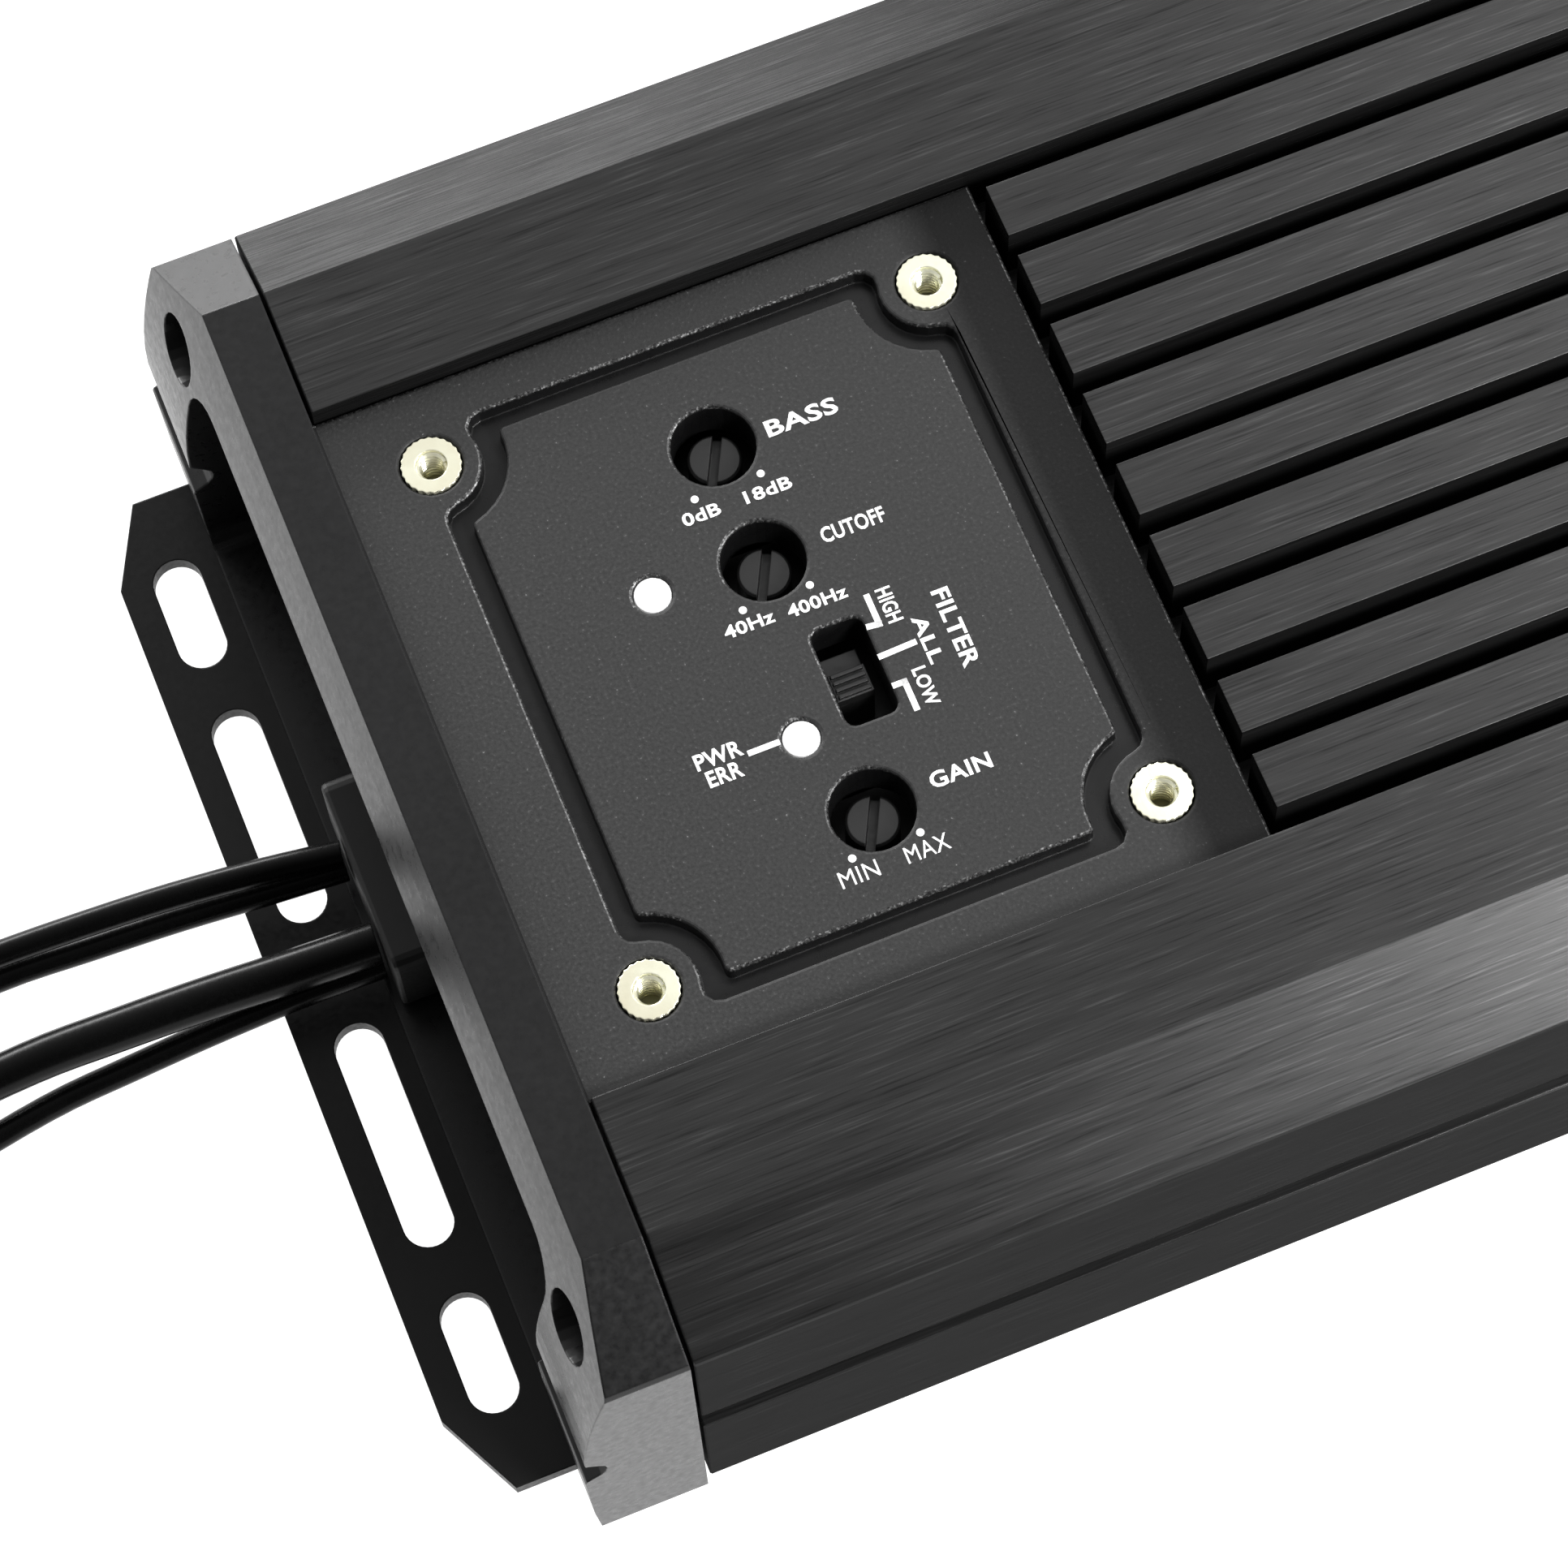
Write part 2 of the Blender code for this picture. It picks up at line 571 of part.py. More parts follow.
def filter_switch(slider_look, body_look):
    x, y = SWITCH_AT
    floor, top = CONTROL_BOARD[1] + GAP, 32.6 * MM
    spans = ((x - 4.2 * MM, x + 4.2 * MM), (y - 6.5 * MM, y + 6.5 * MM))
    box("filter_switch_body", *spans, (floor, top), body_look)
    x, y = SLIDER_AT
    head = PANEL_TOP - 2.2 * MM
    across, along = SLIDER[0] / 2, SLIDER[1] / 2
    spans = ((x - across, x + across), (y - along, y + along))
    step = head - 1.0 * MM
    slider = box("filter_switch_slider", *spans, (top + GAP, step), slider_look, origin=(x, y, head))
    grip = ((x - across + 0.01 * MM, x + across - 0.01 * MM), (y - along + 0.01 * MM, y + 0.3 * MM))
    boolean(slider, box("add_grip", *grip, (step - MM, head)), "UNION")
    ridges = bmesh.new()
    for i in range(4):
        middle = y - along + 0.3 * MM + i * 0.6 * MM
        spans = ((x - across + 0.2 * MM, x + across - 0.2 * MM), (middle - 0.15 * MM, middle + 0.15 * MM))
        add_box(ridges, *spans, (head - 0.5 * MM, head + 0.35 * MM))
    boolean(slider, finish("add_ridges", ridges), "UNION")


def lens(name, x, y, look):
    radius = LENS / 2
    foot, top = CONTROL_BOARD[1] + GAP, PANEL_TOP + 0.15 * MM
    flange = PANEL_TOP - PANEL_THICK - GAP
    wide = radius + 0.8 * MM
    profile = [(0, top), (radius * 0.6, top - 0.06 * MM), (radius, top - 0.3 * MM), (radius, flange)]
    profile += [(wide, flange), (wide, flange - MM), (radius, flange - MM), (radius, foot), (0, foot)]
    turned(name, profile, "Z", (RIB_START + x, y, 0), look, 24)


def inside_parts(looks):
    board, control = looks["board"], looks["board"]
    spans = ((FRONT + 0.4 * MM, REAR - 0.4 * MM), (-47.1 * MM, 47.1 * MM))
    plate = box("base_plate", *spans, (BODY_FOOT, BASE_TOP), looks["plate"])
    posts = bmesh.new()
    for x in (-66 * MM, 66 * MM):
        for y in (-36 * MM, 36 * MM):
            add_prism(posts, circle(x, y, 3 * MM, 16), "Z", BASE_TOP - MM, BOARD[0] - GAP)
    boolean(plate, finish("add_posts", posts), "UNION")
    boolean(plate, screw_holes("cut_plate_screws", 1.7 * MM, 0, 8 * MM), "DIFFERENCE")
    box("main_board", (-74 * MM, 74 * MM), (-40 * MM, 40 * MM), BOARD, board)
    box("control_board", (-76 * MM, RIB_START - 6 * MM), (-27 * MM, 27 * MM), CONTROL_BOARD, control)
    floor = BOARD[1] + GAP
    header = ((-70 * MM, -67 * MM), (-12 * MM, 12 * MM), (floor, CONTROL_BOARD[0] - GAP))
    box("board_header", *header, looks["plastic"])
    for i in range(3):
        profile = [(0, 16 * MM), (5.6 * MM, 16 * MM), (6.2 * MM, 15.2 * MM), (6.2 * MM, 0), (0, 0)]
        place = (-8 * MM, (i - 1) * 15 * MM, floor)
        turned(f"supply_capacitor_{i + 1}", profile, "Z", place, looks["sleeve"], 24)
    ring("supply_toroid", (16 * MM, 0, floor + 5 * MM), 10 * MM, 5 * MM, looks["ferrite"], 24, 8)
    for side, place in ((-1, "near"), (1, "far")):
        spans = ((36 * MM, 48 * MM), (side * 14 * MM - 6 * MM, side * 14 * MM + 6 * MM))
        coil = box(f"output_inductor_{place}", *spans, (floor, floor + 11 * MM), looks["ferrite"])
        bevel(coil, 1 * MM, 2)
    for i in range(3):
        spans = ((14 * MM + i * 18 * MM, 24 * MM + i * 18 * MM), (35.0 * MM, 39.4 * MM))
        box(f"power_transistor_{i + 1}", *spans, (floor, floor + 15 * MM), looks["plastic"])
    clamp = ((12 * MM, 62 * MM), (31.6 * MM, 34.7 * MM), (floor + 5 * MM, floor + 13 * MM))
    box("transistor_clamp", *clamp, looks["plate"])


def ring(name, middle, turn_radius, wire, look, around=28, sides=10):
    """A turned ring that lies flat."""
    bm = bmesh.new()
    loops = []
    for i in range(around):
        a = math.tau * i / around
        outward = Vector((math.cos(a), math.sin(a), 0))
        rim = circle(0, 0, wire, sides)
        loop = [Vector(middle) + outward * (turn_radius + u) + Vector((0, 0, v)) for u, v in rim]
        loops.append([bm.verts.new(point) for point in loop])
    for one, two in zip(loops, loops[1:] + loops[:1]):
        for i in range(sides):
            j = (i + 1) % sides
            bm.faces.new((one[i], two[i], two[j], one[j]))
    return finish(name, bm, look, round_shape=True)


def cable_gland(look):
    x0, x1, y0, y1, z0, z1 = GLAND
    body = prism("cable_gland", rounded((y0, z0), (y1, z1), 1.2 * MM), "X", x0, x1, look)
    bevel(body, 0.4 * MM, 2)
    neck = ((x1 - MM, FRONT + 4 * MM), (-2.9 * MM, 9.1 * MM), (7.9 * MM, 14.1 * MM))
    boolean(body, box("add_neck", *neck), "UNION")


def smooth_route(points, spacing):
    """Evenly spaced points on a smooth curve through the given ones."""
    ends = [points[0] * 2 - points[1], *points, points[-1] * 2 - points[-2]]
    fine = []
    for a, b, c, d in zip(ends, ends[1:], ends[2:], ends[3:]):
        for i in range(24):
            t = i / 24
            square = (2 * a - 5 * b + 4 * c - d) * t**2
            cube = (3 * b - a - 3 * c + d) * t**3
            fine.append(0.5 * (2 * b + (c - a) * t + square + cube))
    fine.append(points[-1])
    kept, travelled = [fine[0]], 0.0
    for one, two in zip(fine, fine[1:]):
        travelled += (two - one).length
        if travelled >= spacing:
            kept.append(two)
            travelled = 0.0
    kept[-1] = fine[-1]
    return kept


def lead_route(name, end, floor):
    """Out of the gland, over the bracket, down to the floor and along to the coil, in mm."""
    _, way_down, (lane, _, _) = LEADS[name]
    x, (y, z) = GLAND[0] / MM - 0.3, LEAD_EXITS[name]
    return [(x, y, z), *way_down, (-150, lane, floor), (end, lane, floor)]


def lead(name, look, plug_look):
    diameter, _, (lane, coil_x, side) = LEADS[name]
    radius = diameter / 2
    turn_radius = COIL_TURN * radius
    middle = (coil_x, lane + side * (turn_radius + radius), diameter + 0.05)
    ring(f"{name}_coil", Vector(middle) * MM, turn_radius * MM, diameter * MM, look)
    # The tube ends just short of the coil's solid.
    clear = math.sqrt((turn_radius + diameter) ** 2 - turn_radius**2) + 0.4
    route = lead_route(name, coil_x + clear, radius + 0.05)
    points = smooth_route([Vector(point) * MM for point in route], 2.2 * diameter * MM)
    curve = bpy.data.curves.new(name, "CURVE")
    curve.dimensions = "3D"
    curve.bevel_depth = radius * MM
    curve.bevel_resolution = 2
    curve.use_fill_caps = True
    spline = curve.splines.new("POLY")
    spline.points.add(len(points) - 1)
    for target, point in zip(spline.points, points):
        target.co = (*point, 1)
    curve.materials.append(look)
    bpy.context.collection.objects.link(bpy.data.objects.new(name, curve))
    plug(name, middle, turn_radius, side, plug_look)


def plug(name, middle, turn_radius, side, look):
    """The lead's far end, in line with its coil's last turn and just clear of the coil."""
    title, width, length = PLUGS[name]
    half = width / 2
    clear = math.sqrt((turn_radius + LEADS[name][0] + 0.3) ** 2 - (turn_radius - half) ** 2)
    x, start = middle[0] - turn_radius, middle[1] + side * clear
    if "jack" in title:
        sleeve = half * 0.6
        profile = [(0, length), (half, length), (half, length * 0.3)]
        profile += [(sleeve, length * 0.25), (sleeve, 0), (0, 0)]
        profile = [(r * MM, side * along * MM) for r, along in profile]
        turned(title, profile, "Y", (x * MM, start * MM, (half + 0.05) * MM), look, 20)
        return
    ends = sorted((start * MM, (start + side * length) * MM))
    made = box(title, ((x - half) * MM, (x + half) * MM), ends, (0.05 * MM, width * 0.7 * MM), look)
    bevel(made, 0.8 * MM, 2)


def main():
    for obj in list(bpy.data.objects):
        bpy.data.objects.remove(obj)
    black = material("brushed_black_aluminium", (0.018, 0.018, 0.019), 0.38, 0.9)
    cast = material("black_casting", (0.022, 0.022, 0.024), 0.5, 0.3)
    sheet = material("black_sheet_steel", (0.02, 0.02, 0.02), 0.4, 0.5)
    rubber = material("black_rubber", (0.012, 0.012, 0.012), 0.6)
    plastic = material("black_plastic", (0.02, 0.02, 0.02), 0.45)
    brass = material("nickelled_brass", (0.82, 0.72, 0.46), 0.25, 1.0)
    steel = material("black_steel", (0.05, 0.05, 0.05), 0.35, 1.0)
    clear = material("white_lens", (0.9, 0.9, 0.9), 0.15)
    jacket = material("black_jacket", (0.012, 0.012, 0.012), 0.25)
    looks = {
        "board": material("green_board", (0.02, 0.16, 0.07), 0.5),
        "plate": sheet,
        "plastic": plastic,
        "sleeve": material("blue_sleeve", (0.03, 0.05, 0.2), 0.4),
        "ferrite": material("grey_ferrite", (0.09, 0.09, 0.1), 0.7),
    }
    heatsink_chassis(black)
    front_cap(cast)
    cap("rear_cap", REAR, 1, cast)
    gasket("front_gasket", FRONT, -1, rubber, True)
    gasket("rear_gasket", REAR, 1, rubber, False)
    for place, end, out in (("front", FRONT, -1), ("rear", REAR, 1)):
        bracket(f"{place}_bracket", end, out, sheet)
        for where, side in (("near", -1), ("far", 1)):
            bolt(f"{place}_bolt_{where}", end, out, side, steel)
            x, y = end + out * BRACKET_SCREW_AT[0], side * BRACKET_SCREW_AT[1]
            small_screw(f"{place}_bracket_screw_{where}", x, y, 5.6 * MM, 1.2 * MM, 3.6 * MM, 0.1 * MM, steel)
    for place, x in (("front", -BASE_SCREWS[0]), ("rear", BASE_SCREWS[0])):
        for where, side in (("near", -1), ("far", 1)):
            foot = BODY_FOOT - 1.4 * MM - 0.1 * MM
            y, head = side * BASE_SCREWS[1], (5.5 * MM, 1.4 * MM)
            small_screw(f"{place}_base_screw_{where}", x, y, *head, 6 * MM, foot, steel)
    for i, (x, y) in enumerate(insert_places()):
        brass_insert(f"brass_insert_{i + 1}", x, y, brass)
    for name, y in TRIMMERS.items():
        trimmer(name, y, plastic, plastic)
    filter_switch(plastic, plastic)
    for name, (x, y) in LENSES.items():
        lens(f"{name}_lens", x, y, clear)
    inside_parts(looks)
    cable_gland(rubber)
    for name in LEADS:
        lead(name, jacket, plastic)


main()
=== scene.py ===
"""Looks for the car amplifier: materials, legends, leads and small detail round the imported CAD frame."""

import json
import math

import bmesh
import bpy
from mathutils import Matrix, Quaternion, Vector


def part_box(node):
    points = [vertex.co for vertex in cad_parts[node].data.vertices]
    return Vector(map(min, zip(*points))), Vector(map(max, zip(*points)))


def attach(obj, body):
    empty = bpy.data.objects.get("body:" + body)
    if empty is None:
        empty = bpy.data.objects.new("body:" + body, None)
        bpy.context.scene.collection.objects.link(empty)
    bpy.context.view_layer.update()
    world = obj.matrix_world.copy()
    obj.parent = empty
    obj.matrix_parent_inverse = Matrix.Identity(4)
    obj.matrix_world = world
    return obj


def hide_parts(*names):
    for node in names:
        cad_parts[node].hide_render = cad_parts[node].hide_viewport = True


MM = 0.001

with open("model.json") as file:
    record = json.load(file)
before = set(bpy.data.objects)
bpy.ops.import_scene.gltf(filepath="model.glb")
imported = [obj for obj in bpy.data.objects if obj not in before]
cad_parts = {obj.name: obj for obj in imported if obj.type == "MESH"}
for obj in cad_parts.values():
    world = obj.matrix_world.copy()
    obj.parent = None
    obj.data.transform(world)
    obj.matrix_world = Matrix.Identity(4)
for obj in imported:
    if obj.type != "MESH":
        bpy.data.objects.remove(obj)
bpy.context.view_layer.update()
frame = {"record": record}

PANEL_TOP = 40.6 * MM
ROOT = "amplifier"


# ---------------------------------------------------------------- camera, floor and light


LENS, SENSOR_WIDTH = 120.35, 36
CLIP = (0.02, 20)  # metres
AIM = (-56.9, -12.9, 42.4)  # what the camera looks at, in mm
VIEW_FROM = (-108.3, 68.4)  # azimuth and elevation in degrees
ROLL = -3.8  # degrees
CAMERA_DISTANCE = 0.4064  # metres

# The brightness round the room, by the direction's Y: place from 0 at -Y to 1 at +Y, then value
WORLD_STOPS = ((0.0, 0.08), (0.2, 0.05), (0.5, 0.28), (0.7, 0.5), (0.9, 1.0), (1.0, 1.0))
WORLD_STRENGTH = 1.3
FLOOR_REACH = 3  # metres from its middle to each side
FLOOR_DROP = 0.05 * MM

LAMP_AIM = (-30, 0, 20)  # what every lamp faces, in mm
# Each lamp's name, azimuth and elevation in degrees, distance and size in metres, and watts
LAMPS = (
    ("glow", -60, 46, 1.0, (0.2, 0.3), 10),
    ("side", -30, 22, 1.0, (0.45, 0.4), 5),
    ("back", 100, 12, 1.2, (0.9, 0.3), 18),
    ("over", 32, 60, 1.2, (0.4, 0.4), 2.2),
)


def aimed(azimuth, elevation):
    """The unit vector that points from the target to something at this azimuth and elevation."""
    a, e = math.radians(azimuth), math.radians(elevation)
    return Vector((math.cos(e) * math.cos(a), math.cos(e) * math.sin(a), math.sin(e)))


def add_camera():
    data = bpy.data.cameras.new("camera")
    data.lens, data.sensor_width = LENS, SENSOR_WIDTH
    data.clip_start, data.clip_end = CLIP
    camera = bpy.data.objects.new("camera", data)
    back = aimed(*VIEW_FROM)
    camera.location = Vector(AIM) * MM + back * CAMERA_DISTANCE
    camera.rotation_mode = "QUATERNION"
    camera.rotation_quaternion = Quaternion(back, math.radians(ROLL)) @ back.to_track_quat("Z", "Y")
    bpy.context.collection.objects.link(camera)
    bpy.context.scene.camera = camera


def area_light(name, azimuth, elevation, distance, size, watts):
    data = bpy.data.lights.new(name, "AREA")
    data.shape = "RECTANGLE"
    data.size, data.size_y = size
    data.energy = watts
    light = bpy.data.objects.new(name, data)
    away = aimed(azimuth, elevation)
    light.location = Vector(LAMP_AIM) * MM + away * distance
    light.rotation_mode = "QUATERNION"
    light.rotation_quaternion = away.to_track_quat("Z", "Y")
    bpy.context.collection.objects.link(light)


def add_studio():
    world = bpy.data.worlds.new("studio")
    bpy.context.scene.world = world
    world.use_nodes = True
    tree = world.node_tree
    where = tree.nodes.new("ShaderNodeTexCoord")
    split = tree.nodes.new("ShaderNodeSeparateXYZ")
    spread = tree.nodes.new("ShaderNodeMapRange")
    spread.inputs["From Min"].default_value = -1
    ramp = tree.nodes.new("ShaderNodeValToRGB")
    elements = ramp.color_ramp.elements
    while len(elements) < len(WORLD_STOPS):
        elements.new(0.5)
    for element, (place, value) in zip(elements, WORLD_STOPS):
        element.position = place
        element.color = (value, value, value, 1)
    background = tree.nodes["Background"]
    background.inputs["Strength"].default_value = WORLD_STRENGTH
    tree.links.new(where.outputs["Generated"], split.inputs["Vector"])
    tree.links.new(split.outputs["Y"], spread.inputs["Value"])
    tree.links.new(spread.outputs["Result"], ramp.inputs["Fac"])
    tree.links.new(ramp.outputs["Color"], background.inputs["Color"])
    bpy.context.scene.view_settings.view_transform = "Standard"

    bm = bmesh.new()
    bmesh.ops.create_grid(bm, x_segments=2, y_segments=2, size=FLOOR_REACH)
    floor = add_mesh("floor", bm, pale_floor())
    floor.location.z = -FLOOR_DROP
    for lamp in LAMPS:
        area_light(*lamp)


# ---------------------------------------------------------------- making meshes


def add_mesh(name, bm, look):
    mesh = bpy.data.meshes.new(name)
    bm.to_mesh(mesh)
    bm.free()
    obj = bpy.data.objects.new(name, mesh)
    bpy.context.collection.objects.link(obj)
    mesh.materials.append(look)
    return obj


# ---------------------------------------------------------------- materials


class Look:
    """A Principled material with helpers that add the procedural detail behind its sockets."""

    def __init__(self, name, colour, roughness, metallic=0.0, **sockets):
        self.material = bpy.data.materials.new(name)
        self.material.use_nodes = True
        self.tree = self.material.node_tree
        self.shader = self.tree.nodes["Principled BSDF"]
        self.set("Base Color", (*colour, 1))
        self.set("Roughness", roughness)
        self.set("Metallic", metallic)
        for socket, value in sockets.items():
            self.set(socket.replace("_", " "), value)

    def set(self, socket, value):
        self.shader.inputs[socket].default_value = value

    def node(self, kind, **values):
        node = self.tree.nodes.new(f"ShaderNode{kind}")
        for name, value in values.items():
            if name in node.bl_rna.properties:
                setattr(node, name, value)
            else:
                node.inputs[name.replace("_", " ")].default_value = value
        return node

    def link(self, source, output, target, socket):
        self.tree.links.new(source.outputs[output], target.inputs[socket])

    def noise(self, scale, stretch=(1, 1, 1), detail=3.0, seed=0.0):
        """Noise of about scale cells a metre in object space, stretched along the axes. Gives its Fac."""
        where = self.node("TexCoord")
        mapping = self.node("Mapping", Scale=stretch, Location=(seed, seed * 0.7, seed * 1.3))
        noise = self.node("TexNoise", Scale=scale, Detail=detail, Roughness=0.55)
        self.link(where, "Object", mapping, "Vector")
        self.link(mapping, "Vector", noise, "Vector")
        return noise

    def shades(self, source, stops):
        """A colour ramp behind Base Color."""
        self.link(self.ramp(source, stops), "Color", self.shader, "Base Color")

    def ramp(self, source, stops):
        """A colour ramp on the source's Fac. Each stop is a place with a grey or a colour."""
        ramp = self.node("ValToRGB")
        elements = ramp.color_ramp.elements
        while len(elements) < len(stops):
            elements.new(0.5)
        for element, (place, colour) in zip(elements, stops):
            element.position = place
            element.color = (*colour, 1) if hasattr(colour, "__len__") else (colour, colour, colour, 1)
        self.link(source, "Fac", ramp, "Fac")
        return ramp

    def roughens(self, source, low, high):
        spread = self.node("MapRange", To_Min=low, To_Max=high, From_Min=0.3, From_Max=0.7)
        self.link(source, "Fac", spread, "Value")
        self.link(spread, "Result", self.shader, "Roughness")

    def edges(self, radius):
        """Rounds the edges in the shading, by about this radius."""
        return self.node("Bevel", samples=6, Radius=radius)

    def bumps(self, source, height, strength, after=None):
        """A bump of about this height in metres, laid over the normal of the node after, if any."""
        bump = self.node("Bump", Strength=strength, Distance=height)
        self.link(source, "Fac", bump, "Height")
        if after:
            self.link(after, "Normal", bump, "Normal")
        self.link(bump, "Normal", self.shader, "Normal")


def pale_floor():
    look = Look("pale_floor", (0.3, 0.3, 0.3), 0.8)
    look.set("Emission Color", (1, 1, 1, 1))
    look.set("Emission Strength", 1.1)
    return look.material


def brushed_aluminium():
    look = Look("brushed_black_aluminium", (0.05, 0.05, 0.051), 0.33, 0.9, Anisotropic=0.75)
    look.set("Specular Tint", (0.12, 0.12, 0.12, 1))
    fine = look.noise(1.0, (140, 5200, 5200), 4.0)
    broad = look.noise(1.0, (14, 700, 700), 3.0, 5)
    look.shades(fine, ((0.28, 0.025), (0.42, 0.041), (0.58, 0.047), (0.74, 0.078)))
    look.roughens(broad, 0.28, 0.38)
    look.bumps(fine, 0.02 * MM, 0.3, after=look.edges(0.12 * MM))
    tangent = look.node("Tangent", direction_type="RADIAL", axis="X")
    look.link(tangent, "Tangent", look.shader, "Tangent")
    return look.material


def black_casting():
    """Smooth painted casting: a faint cloud in its colour, a fine grain in its gloss."""
    colour, roughness = (0.006, 0.006, 0.0062), 0.3
    look = Look("black_casting", colour, roughness, 0.0, Specular_IOR_Level=0.32)
    cells = look.noise(1500, detail=2.0)
    cloud = look.noise(60, detail=3.0, seed=3)
    dim = tuple(c * 0.8 for c in colour)
    lit = tuple(c * 1.2 for c in colour)
    look.shades(cloud, ((0.3, dim), (0.7, lit)))
    look.roughens(cells, roughness * 0.85, roughness * 1.2)
    look.bumps(cells, 0.004 * MM, 0.6, after=look.edges(0.25 * MM))
    return look.material


STRIP_FROM, STRIP_TO = -31 * MM, -27.5 * MM  # where the panel darkens into the strip by the ribs


def textured():
    """The panel's finish: a lit grain with tiny light specks, darker on the strip by the ribs."""
    look = Look("black_casting_textured", (0.036, 0.036, 0.037), 0.5)
    cells = look.noise(3300, detail=4.0)
    ramp = look.ramp(cells, ((0.3, 0.008), (0.5, 0.0135), (0.62, 0.019), (0.7, 0.04), (0.76, 0.2)))
    where = look.node("TexCoord")
    split = look.node("SeparateXYZ")
    look.link(where, "Object", split, "Vector")
    strip = look.node("MapRange", From_Min=STRIP_FROM, From_Max=STRIP_TO, To_Min=1.0, To_Max=0.3)
    look.link(split, "X", strip, "Value")
    product = look.node("VectorMath", operation="SCALE")
    look.link(ramp, "Color", product, "Vector")
    look.link(strip, "Result", product, "Scale")
    look.link(product, "Vector", look.shader, "Base Color")
    gloss = look.node("MapRange", From_Min=STRIP_FROM, From_Max=STRIP_TO, To_Min=0.5, To_Max=0.2)
    look.link(split, "X", gloss, "Value")
    look.link(gloss, "Result", look.shader, "Specular IOR Level")
    look.roughens(cells, 0.4, 0.6)
    look.bumps(cells, 0.045 * MM, 0.5)
    return look.material


def rim():
    """The rounded rims of the panel's steps and holes that face the lamps, with a painted speckled highlight:
    a metallic shine with bright specks in its colour.
    """
    look = Look("rim_painted_highlight", (0.06, 0.06, 0.06), 0.28, 0.8)
    specks = look.noise(4200, detail=3.0, seed=4)
    look.shades(specks, ((0.35, 0.04), (0.55, 0.1), (0.66, 0.3)))
    look.roughens(specks, 0.22, 0.4)
    look.bumps(specks, 0.02 * MM, 0.5)
    return look.material


def sheet_steel():
    look = Look("black_sheet_steel", (0.004, 0.004, 0.004), 0.4, 0.0, Specular_IOR_Level=0.22)
    grain = look.noise(2500, detail=2.0)
    look.roughens(grain, 0.34, 0.48)
    look.bumps(grain, 0.008 * MM, 0.3, after=look.edges(0.2 * MM))
    return look.material


def simple(name, colour, roughness, metallic=0.0, bump=0.01, **sockets):
    """A plain moulded or plated finish: faint cloud in its colour, a fine grain in its gloss."""
    look = Look(name, colour, roughness, metallic, **sockets)
    cloud = look.noise(180, detail=3.0, seed=2)
    dim = tuple(c * 0.82 for c in colour)
    lit = tuple(min(1, c * 1.15) for c in colour)
    look.shades(cloud, ((0.3, dim), (0.7, lit)))
    fine = look.noise(2500, detail=2.0, seed=1)
    look.roughens(fine, roughness * 0.85, min(1, roughness * 1.2))
    look.bumps(fine, bump * MM, 0.4, after=look.edges(0.15 * MM))
    return look.material


LOOKS = {
    "brushed_black_aluminium": brushed_aluminium(),
    "black_casting": black_casting(),
    "black_sheet_steel": sheet_steel(),
    "black_rubber": simple("black_rubber", (0.007, 0.007, 0.007), 0.5, Specular_IOR_Level=0.3),
    "black_plastic": simple("black_plastic", (0.012, 0.012, 0.012), 0.4),
    "nickelled_brass": simple("nickelled_brass", (0.99, 0.93, 0.7), 0.2, 0.65),
    "black_steel": simple("black_steel", (0.14, 0.14, 0.14), 0.3, 1.0),
    "white_lens": simple(
        "white_lens", (0.92, 0.92, 0.92), 0.12, Emission_Color=(1, 1, 1, 1), Emission_Strength=0.15
    ),
    "green_board": simple("green_board", (0.02, 0.16, 0.07), 0.45),
    "blue_sleeve": simple("blue_sleeve", (0.03, 0.05, 0.2), 0.35),
    "grey_ferrite": simple("grey_ferrite", (0.09, 0.09, 0.1), 0.7),
    "black_jacket": simple("black_jacket", (0.002, 0.002, 0.002), 0.26, bump=0.003, Specular_IOR_Level=0.12),
}
TEXTURED = textured()
# The painted highlight on the rims that face the lamps
RIM_HIGHLIGHT = rim()
# The white print glows a little: a painted brightness, as print is no lamp
GLOWING_LEGEND = simple("white_legend_with_glow", (0.95, 0.95, 0.95), 0.5, Emission_Color=(1, 1, 1, 1), Emission_Strength=0.3)


# ---------------------------------------------------------------- leads


# The diameter and the way down from the gland to the floor, the lane along the floor to the coil, its x
# and the side it turns to, then its turns, the lead's length and its plug: in mm, as in part.py
LEADS = {
    "input_lead_far": (
        2.3,
        [
            (-89.6, 6.7, 12.3), (-96, 7.7, 12.2), (-104, 8.7, 11.8), (-112, 9.5, 10.9),
            (-120, 10.3, 9.4), (-130, 11.3, 6.6), (-140, 12.4, 3.5),
        ],
        (13.0, -160, 1),
        (3, 335, "input_jack_far"),
    ),
    "input_lead_near": (
        2.3,
        [
            (-89.6, 6.4, 9.6), (-96, 6.9, 9.4), (-104, 7.7, 9.0), (-112, 8.4, 8.2),
            (-120, 9.2, 6.9), (-130, 9.4, 4.2), (-140, 7.0, 1.9),
        ],
        (2.9, -196, 1),
        (3, 371, "input_jack_near"),
    ),
    "power_lead": (
        3.7,
        [
            (-89.6, -1.5, 11.4), (-96, -1.2, 11.3), (-104, -0.6, 10.9), (-112, 0, 9.9),
            (-120, 0.6, 8.4), (-130, 0.6, 5.6), (-140, -1.3, 3.1),
        ],
        (-4.6, -207, -1),
        (2, 425, "power_plug"),
    ),
    "speaker_lead": (
        2.3,
        [
            (-89.6, -2.3, 8.0), (-96, -2.1, 7.8), (-104, -2.0, 6.9), (-112, -2.0, 5.6),
            (-120, -2.0, 3.8), (-130, -3.3, 1.9), (-140, -6.3, 1.2),
        ],
        (-9.6, -164, -1),
        (3, 339, "speaker_plug"),
    ),
}
COIL_TURN = 11  # a coil's radius to its lead's radius
COIL_STEPS = 28  # points in a turn
SMOOTH_STEPS = 4  # points from one point of a route to the next
LANE_FROM = -150  # where a lead is down in its lane, in mm
LEAD_LIFT = 0.05  # mm of air under a lead in its lane and coil
TUBE_SIDES = 24


